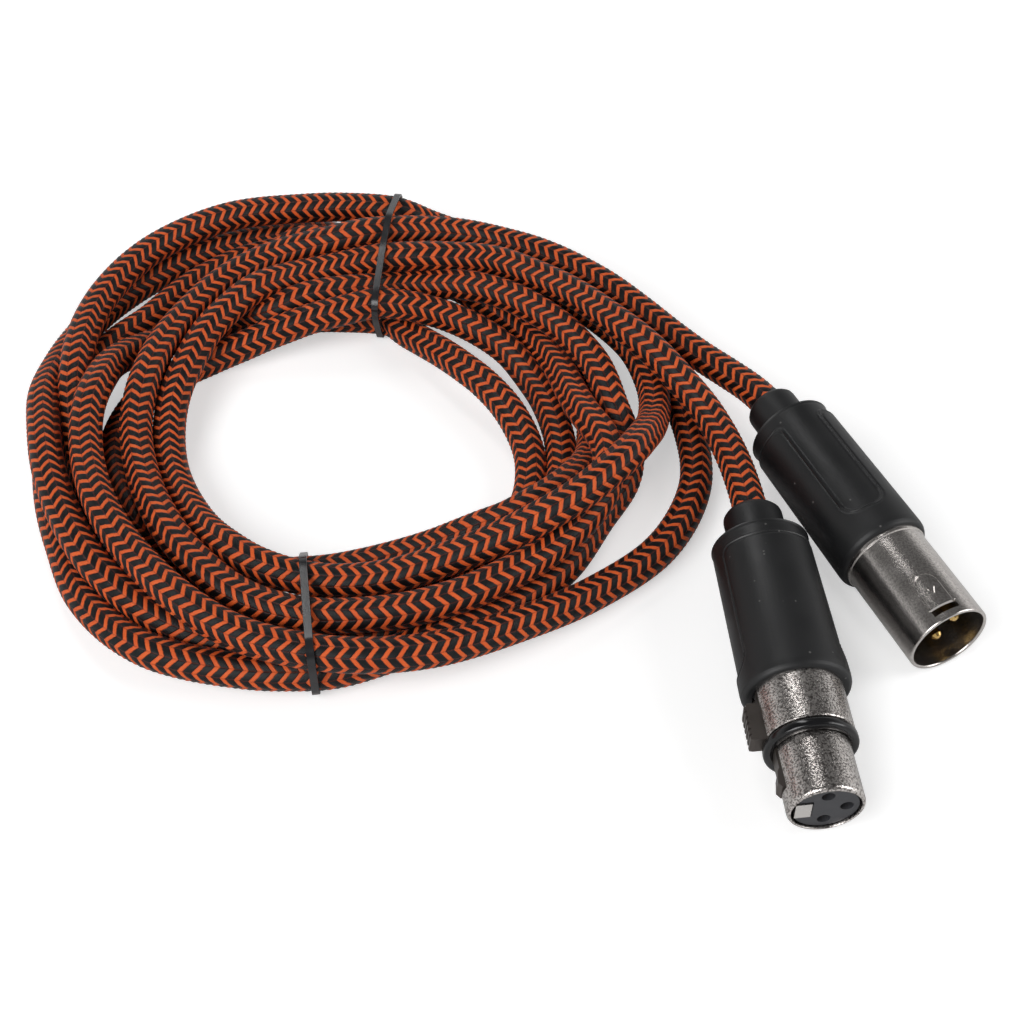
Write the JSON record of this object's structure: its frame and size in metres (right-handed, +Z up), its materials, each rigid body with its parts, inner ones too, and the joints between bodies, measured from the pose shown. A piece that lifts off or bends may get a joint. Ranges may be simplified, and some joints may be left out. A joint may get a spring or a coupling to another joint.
{
  "type": "xlr microphone cable",
  "caption": "Balanced microphone cable with a woven jacket, male and female three-pin connectors, coiled and tied for storage.",
  "frame": {"origin": "on the table, under the middle of the whole cable's bounding box", "axes": "+Z up; +X from the coil towards the male connector; -Y is the side that both connectors point to"},
  "size_m": [0.2246, 0.1987, 0.0227],
  "materials": {
    "braid": "woven, orange and black chevrons",
    "boot_rubber": "soft satin black",
    "nickel": "satin nickel plate",
    "gold": "gold plate",
    "insert_plastic": "dark grey moulding",
    "clamp_plastic": "natural nylon",
    "seal_rubber": "matte black",
    "latch_metal": "dark grey-brown",
    "steel": "bright spring steel",
    "tie_plastic": "glossy black",
    "wire_shield": "black sleeving",
    "wire_hot": "red insulation",
    "wire_cold": "white insulation"
  },
  "bodies": {
    "cable": {"cable_coil": "braid", "cable_tail_male": "braid", "cable_tail_female": "braid", "tie_upper": "tie_plastic", "tie_lower": "tie_plastic", "male_boot": "boot_rubber", "male_shell": "nickel", "male_insert": "insert_plastic", "male_cable_clamp": "clamp_plastic", "male_cable_end": "braid", "female_boot": "boot_rubber", "female_shell": "nickel", "female_insert": "insert_plastic", "female_key_bar": "nickel", "female_seal_ring": "seal_rubber", "female_latch_pin": "steel", "female_latch_spring": "steel", "female_cable_clamp": "clamp_plastic", "female_cable_end": "braid", "male_pin_1": "gold", "female_socket_1": "gold", "male_wire_1": "wire_shield", "female_wire_1": "wire_shield", "male_pin_2": "gold", "female_socket_2": "gold", "male_wire_2": "wire_hot", "female_wire_2": "wire_hot", "male_pin_3": "gold", "female_socket_3": "gold", "male_wire_3": "wire_cold", "female_wire_3": "wire_cold"},
    "latch": {"female_latch": "latch_metal"}
  },
  "joints": [
    {"name": "latch_press", "type": "hinge", "parent": "cable", "child": "latch", "pos_m": [0.06091, -0.0701, 0.01084], "axis": [-0.0323, -0.0293, 0.999], "range_deg": [0, 3], "stiffness_Nm_per_rad": 0.3, "springref_deg": -2.86}
  ]
}
